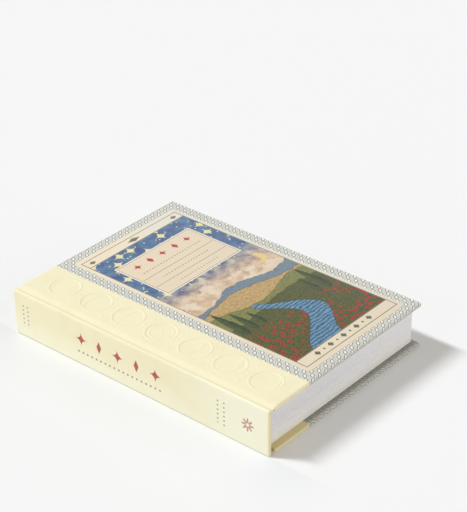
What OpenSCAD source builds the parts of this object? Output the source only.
// Quarter-bound hardback book, closed and lying on its back cover.
// Sewn sections in a flat-backed case with soft joint grooves, millimetres.
// Origin under the middle of the closed book, spine towards -X, head towards +Y, front cover up.

/* [Case] */
// Width of the closed cover, from the spine's outer face to the fore edge
cover_w = 183; // [150:1:230]
// Height of the cover, from tail to head
cover_h = 254; // [200:1:320]
// Thickness of the two cover boards
board_t = 2.8; // [1.6:0.1:4]
// Thickness of the board that stiffens the spine
spine_board_t = 2.5; // [1.2:0.1:3]
// Thickness of the covering cloth and of the side paper
skin_t = 0.3; // [0.2:0.05:0.5]
// How far the covering is turned in over the inner faces
turn_in_w = 15; // [10:1:20]
// How far the cover stands past the leaves at the fore edge
square_w = 3.5; // [2:0.5:6]
// How far the cover stands past the leaves at head and tail
end_square_w = 5.8; // [2:0.1:8]
// Radius of the cover's corners at the fore edge
corner_r = 0.8; // [0.6:0.1:2]
// Width of the cloth strip on each cover, from the spine's outer face
strip_w = 46; // [36:1:70]

/* [Joint groove] */
// Distance from the spine's outer face to the edge of each board
joint_w = 6.3; // [5.8:0.1:8]
// Radius of the spine's long edges
shoulder_r = 1.5; // [0.7:0.1:1.8]
// Distance from the spine's outer face to the bottom of the groove
groove_x = 4.4; // [3:0.1:5]
// Depth of the groove under the cover's face
groove_depth = 1.4; // [0.4:0.1:1.6]
// How far past the board's edge the face is still sinking into the groove
land_w = 3.9; // [1:0.1:5]

/* [Leaves] */
// Number of folded sections sewn together
section_count = 25; // [12:1:30]
// Leaves in one section
leaves_per_section = 8; // [4:4:12]
// Thickness of one leaf
leaf_t = 0.16; // [0.1:0.01:0.24]
// Thickness of the endpapers
end_paper_t = 0.15; // [0.1:0.01:0.25]

/* [Back of the block] */
// Air gap between the spine board and the back lining
hollow_gap = 1.2; // [0.8:0.1:2]
// Thickness of the paper lining on the back
lining_t = 0.3; // [0.15:0.05:0.5]
// Thickness of the gauze on the back
mull_t = 0.2; // [0.1:0.05:0.2]
// How far the gauze reaches over each board
mull_flap_w = 25; // [15:1:35]
// Clear distance from the gauze to the covering's turn-ins
mull_gap = 4; // [2:1:10]
// Diameter of the bead of the head and tail bands
band_d = 2; // [1.2:0.1:2.6]
// Height of the band's glued skirt
band_skirt_h = 8; // [5:1:10]
// Diameter of the sewing thread
thread_d = 0.26; // [0.15:0.01:0.28]
// Length of one stitch along the back
stitch_l = 12; // [8:1:16]
// Sewing stations along the back
stitch_stations = 5; // [3:1:7]

/* [Card plate] */
// Thickness of the printed card glued on the front cover
plate_t = 0.25; // [0.15:0.05:0.6]
// Radius of the card's corners
plate_corner_r = 3; // [1:0.5:6]
// Distance from the cloth strip to the card
plate_margin_spine = 9.6; // [5:0.2:16]
// Distance from the card to the fore edge
plate_margin_fore = 10.4; // [5:0.2:16]
// Distance from the card to the head
plate_margin_head = 10; // [5:0.2:16]
// Distance from the card to the tail
plate_margin_tail = 8; // [5:0.2:16]

/* [Hidden] */
$fn = 48;
// Straight pieces that stand for each half of the groove's soft curve
curve_steps = 8;
// How far a cut runs past the face that it opens
overrun = 1;
// Overlap that joins two shapes of one section
weld = 0.05;
// Clearance between a stitch and the folds beside it
stitch_clearance = 0.02;
// Share of the bead's radius that is cut off where it sits on the leaves
bead_seat_share = 0.3;
// Share of the leaves' height that the sewing stations span
stitch_span_share = 0.8;

cloth_colour = [0.95, 0.92, 0.78];
pattern_colour = [0.72, 0.73, 0.72];
grey_board_colour = [0.55, 0.53, 0.5];
leaf_colour = [0.95, 0.95, 0.94];
end_paper_colour = [0.93, 0.92, 0.88];
gauze_colour = [0.9, 0.88, 0.8];
lining_colour = [0.72, 0.6, 0.44];
thread_colour = [0.97, 0.96, 0.92];
plate_colour = [0.42, 0.5, 0.45];

// The stack from the table up: skin, board, turned-in skin, pastedown, flyleaf, leaves and back again
section_t = leaves_per_section * leaf_t;
block_t = section_count * section_t;
board_face = skin_t + board_t;
paste_face = board_face + skin_t;
block_z0 = paste_face + 2 * end_paper_t;
cover_t = block_t + 2 * block_z0;

// Across the book from the spine's outer face
spine_inner_x = skin_t + spine_board_t;
lining_x = spine_inner_x + hollow_gap;
mull_x = lining_x + lining_t;
fold_x = mull_x + mull_t;
leaf_x1 = cover_w - square_w;
land_x = joint_w + land_w;
turn_in_x = cover_w - turn_in_w;

// Along the book
block_h = cover_h - 2 * end_square_w;
turn_in_y = cover_h / 2 - turn_in_w;
mull_h = 2 * (turn_in_y - mull_gap);

// Card plate
plate_x = strip_w + plate_margin_spine;
plate_w = cover_w - plate_margin_fore - plate_x;
plate_h = cover_h - plate_margin_head - plate_margin_tail;
plate_y = (plate_margin_tail - plate_margin_head) / 2;

// Folds and stitches
fold_r = section_t / 2;
thread_r = thread_d / 2;
stitch_offset = sqrt(pow(fold_r + thread_r + stitch_clearance, 2) - pow(fold_r, 2));
stitch_x = fold_x + fold_r - stitch_offset;
stitch_pitch = stitch_span_share * block_h / (stitch_stations - 1);
band_r = band_d / 2;

function section_name(i) = str("section_", i < 10 ? "0" : "", i);

// A half cosine that rises from 0 to 1
function ease(u) = (1 - cos(180 * min(max(u, 0), 1))) / 2;

// Depth of the joint groove at a distance x from the spine's outer face
function groove(x) = groove_depth * ease(
    x < groove_x ? (x - shoulder_r) / (groove_x - shoulder_r) : (land_x - x) / (land_x - groove_x));

// Points of the front cover's face from x0 to x1, a given depth under it
function face_line(x0, x1, depth) = [
    for (i = [0 : curve_steps])
        let (x = x0 + (x1 - x0) * i / curve_steps)
        [x, cover_t - groove(x) - depth]
];

function reversed(points) = [for (i = [len(points) - 1 : -1 : 0]) points[i]];

// All points but the first
function rest(points) = [for (i = [1 : len(points) - 1]) points[i]];

// Points of the groove from the spine's edge to the board, with the same steps where the spine board ends
function joint_line(depth) = concat(
    face_line(shoulder_r, spine_inner_x, depth),
    rest(face_line(spine_inner_x, joint_w, depth))
);

// The same points on the back cover's side, in reverse order
function flipped(points) = [for (p = reversed(points)) [p.x, cover_t - p.y]];

// Moves a shape drawn from the spine's outer face to the part's own origin
module from_spine() {
    translate([-cover_w / 2, 0, 0]) children();
}

// Carries a section drawn in X and Z along the height of the book
module along_book(length) {
    rotate([90, 0, 0]) linear_extrude(length, center = true) children();
}

// Puts two copies at the head and the tail, the second one mirrored
module head_and_tail() {
    children();
    mirror([0, 1, 0]) children();
}

// Turns a piece of the front cover into the same piece of the back cover
module back_of_book() {
    translate([0, 0, cover_t]) mirror([0, 0, 1]) children();
}

// A box from its low corner to its high corner
module span(low, high) {
    translate(low) cube(high - low);
}

// Plan of a cover from its board's edge to the fore edge, with round corners there
module cover_plan(inset) {
    r = corner_r - inset;
    x1 = cover_w - inset;
    y1 = cover_h / 2 - inset;
    translate([joint_w, -y1]) square([x1 - r - joint_w, 2 * y1]);
    translate([joint_w, r - y1]) square([x1 - joint_w, 2 * (y1 - r)]);
    for (side = [-1, 1])
        translate([x1 - r, side * (y1 - r)]) circle(r);
}

// Section of the front board, sunk along its inner edge by the groove
module board_section() {
    x1 = cover_w - skin_t;
    z0 = cover_t - board_face;
    polygon(concat(
        face_line(joint_w, land_x, skin_t),
        [[x1, cover_t - skin_t], [x1, z0], [joint_w, z0]]
    ));
}

module board_solid() {
    intersection() {
        along_book(cover_h) board_section();
        linear_extrude(cover_t) cover_plan(skin_t);
    }
}

// Side paper over the board's outer face and edges, with its turn-ins
module side_paper_solid() {
    z0 = cover_t - paste_face;
    difference() {
        intersection() {
            translate([0, 0, z0]) linear_extrude(paste_face) cover_plan(0);
            span([strip_w, -cover_h / 2, z0], [cover_w, cover_h / 2, cover_t]);
        }
        board_solid();
        span(
            [strip_w - overrun, -turn_in_y, z0 - overrun],
            [turn_in_x, turn_in_y, cover_t - board_face]
        );
    }
}

// Cloth strip over the board's inner part, turned in at head and tail
module strip_cloth_solid() {
    z0 = cover_t - paste_face;
    z1 = cover_t - board_face;
    y1 = cover_h / 2;
    along_book(cover_h) polygon(concat(
        face_line(joint_w, land_x, 0),
        [[strip_w, cover_t], [strip_w, cover_t - skin_t]],
        reversed(face_line(joint_w, land_x, skin_t))
    ));
    head_and_tail() {
        intersection() {
            along_book(cover_h) board_section();
            span([joint_w, y1 - skin_t, z1], [strip_w, y1, cover_t]);
        }
        span([joint_w, turn_in_y, z0], [strip_w, y1, z1]);
    }
}

// Cloth in the soft groove between the spine and a board
module joint_cloth_solid() {
    along_book(cover_h) polygon(concat(joint_line(0), reversed(joint_line(skin_t))));
}

// Outline of the spine's outer wall from its lower to its upper edge, a given depth under the cloth's face
function spine_wall(depth) =
    let (upper = [
        for (i = [0 : curve_steps])
            let (turn = 90 * i / curve_steps)
            [
                shoulder_r - (shoulder_r - depth) * cos(turn),
                cover_t - shoulder_r + (shoulder_r - depth) * sin(turn)
            ]
    ])
    concat(flipped(upper), upper);

// Section of the cloth on the spine's outer wall
module spine_cloth_section() {
    polygon(concat(spine_wall(0), reversed(spine_wall(skin_t))));
}

// Section of the spine board, which slopes into the grooves on its inner side
module spine_board_section() {
    inner = rest(face_line(shoulder_r, spine_inner_x, skin_t));
    polygon(concat(spine_wall(skin_t), inner, flipped(inner)));
}

// Pastedown with a flat face to the leaves, thinner where it covers the turn-ins and the gauze
module pastedown_solid() {
    z0 = cover_t - paste_face;
    z1 = cover_t - board_face;
    span([fold_x, -block_h / 2, z0 - end_paper_t], [leaf_x1, block_h / 2, z0]);
    difference() {
        span([joint_w, -turn_in_y, z0], [turn_in_x, turn_in_y, z1]);
        span(
            [joint_w - overrun, -mull_h / 2, z1 - mull_t],
            [joint_w + mull_flap_w, mull_h / 2, z1 + overrun]
        );
    }
}

module flyleaf_solid() {
    z0 = cover_t - block_z0;
    span([fold_x, -block_h / 2, z0], [leaf_x1, block_h / 2, z0 + end_paper_t]);
}

// Bead on the edge of the leaves with a skirt glued to the folds, at the head
module band_solid() {
    y1 = block_h / 2;
    bead_rise = band_r * (1 - bead_seat_share);
    seat_half_w = sqrt(pow(band_r, 2) - pow(bead_rise, 2));
    translate([0, 0, block_z0]) linear_extrude(block_t) {
        difference() {
            translate([mull_x + seat_half_w, y1 + bead_rise]) circle(band_r);
            translate([mull_x - overrun, y1 - band_d]) square([band_d + 2 * overrun, band_d]);
        }
        translate([mull_x, y1 - band_skirt_h]) square([mull_t, band_skirt_h + weld]);
    }
}

module front_board() {
    color(grey_board_colour) from_spine() board_solid();
}

module back_board() {
    color(grey_board_colour) from_spine() back_of_book() board_solid();
}

module spine_board() {
    color(grey_board_colour) from_spine() along_book(cover_h - 2 * skin_t) spine_board_section();
}

module front_side_paper() {
    color(pattern_colour) from_spine() side_paper_solid();
}

module back_side_paper() {
    color(pattern_colour) from_spine() back_of_book() side_paper_solid();
}

// Printed card with round corners on the front cover
module front_card_plate() {
    inner_w = plate_w - 2 * plate_corner_r;
    inner_h = plate_h - 2 * plate_corner_r;
    color(plate_colour) from_spine()
        translate([plate_x + plate_w / 2, plate_y, cover_t]) linear_extrude(plate_t) {
            square([plate_w, inner_h], center = true);
            square([inner_w, plate_h], center = true);
            for (side_x = [-1, 1], side_y = [-1, 1])
                translate([side_x * inner_w / 2, side_y * inner_h / 2]) circle(plate_corner_r);
        }
}

module front_strip_cloth() {
    color(cloth_colour) from_spine() strip_cloth_solid();
}

module back_strip_cloth() {
    color(cloth_colour) from_spine() back_of_book() strip_cloth_solid();
}

module front_joint_cloth() {
    color(cloth_colour) from_spine() joint_cloth_solid();
}

module back_joint_cloth() {
    color(cloth_colour) from_spine() back_of_book() joint_cloth_solid();
}

// Cloth over the spine board, turned in at head and tail
module spine_cloth() {
    y1 = cover_h / 2;
    z0 = groove_depth + skin_t;
    color(cloth_colour) from_spine() {
        along_book(cover_h) spine_cloth_section();
        head_and_tail() {
            intersection() {
                along_book(cover_h) spine_board_section();
                span([0, y1 - skin_t, 0], [spine_inner_x, y1, cover_t]);
            }
            span([spine_inner_x, turn_in_y, z0], [spine_inner_x + skin_t, y1, cover_t - z0]);
        }
    }
}

module front_pastedown() {
    color(end_paper_colour) from_spine() pastedown_solid();
}

module back_pastedown() {
    color(end_paper_colour) from_spine() back_of_book() pastedown_solid();
}

module front_flyleaf() {
    color(end_paper_colour) from_spine() flyleaf_solid();
}

module back_flyleaf() {
    color(end_paper_colour) from_spine() back_of_book() flyleaf_solid();
}

// Gauze over the folds, with a flap glued to the inside of each board
module spine_gauze() {
    y1 = mull_h / 2;
    flap_x = joint_w + mull_flap_w;
    color(gauze_colour) from_spine() {
        span([mull_x, -y1, board_face], [fold_x, y1, cover_t - board_face]);
        span([fold_x, -y1, board_face], [flap_x, y1, board_face + mull_t]);
        span([fold_x, -y1, cover_t - board_face - mull_t], [flap_x, y1, cover_t - board_face]);
    }
}

module spine_lining() {
    color(lining_colour) from_spine()
        span([lining_x, -block_h / 2, block_z0], [mull_x, block_h / 2, block_z0 + block_t]);
}

module head_band() {
    color(cloth_colour) from_spine() band_solid();
}

module tail_band() {
    color(cloth_colour) from_spine() mirror([0, 1, 0]) band_solid();
}

// Stitches that lie in the furrows between neighbouring folds
module sewing_thread() {
    color(thread_colour) from_spine()
        for (i = [1 : section_count - 1], j = [0 : stitch_stations - 1])
            translate([stitch_x, (j - (stitch_stations - 1) / 2) * stitch_pitch, block_z0 + i * section_t])
                rotate([90, 0, 0]) cylinder(h = stitch_l, r = thread_r, center = true);
}

// One folded section, counted from the front, with a round fold at the back
module section(i) {
    z = block_z0 + (section_count - i) * section_t + fold_r;
    color(leaf_colour) from_spine() along_book(block_h) {
        translate([fold_x + fold_r, z]) circle(fold_r);
        translate([fold_x + fold_r, z - fold_r]) square([leaf_x1 - fold_x - fold_r, section_t]);
    }
}

front_board();
back_board();
spine_board();
front_side_paper();
back_side_paper();
front_card_plate();
front_strip_cloth();
front_joint_cloth();
spine_cloth();
back_joint_cloth();
back_strip_cloth();
front_pastedown();
front_flyleaf();
back_flyleaf();
back_pastedown();
spine_gauze();
spine_lining();
head_band();
tail_band();
sewing_thread();
for (i = [1 : section_count])
    section(i);
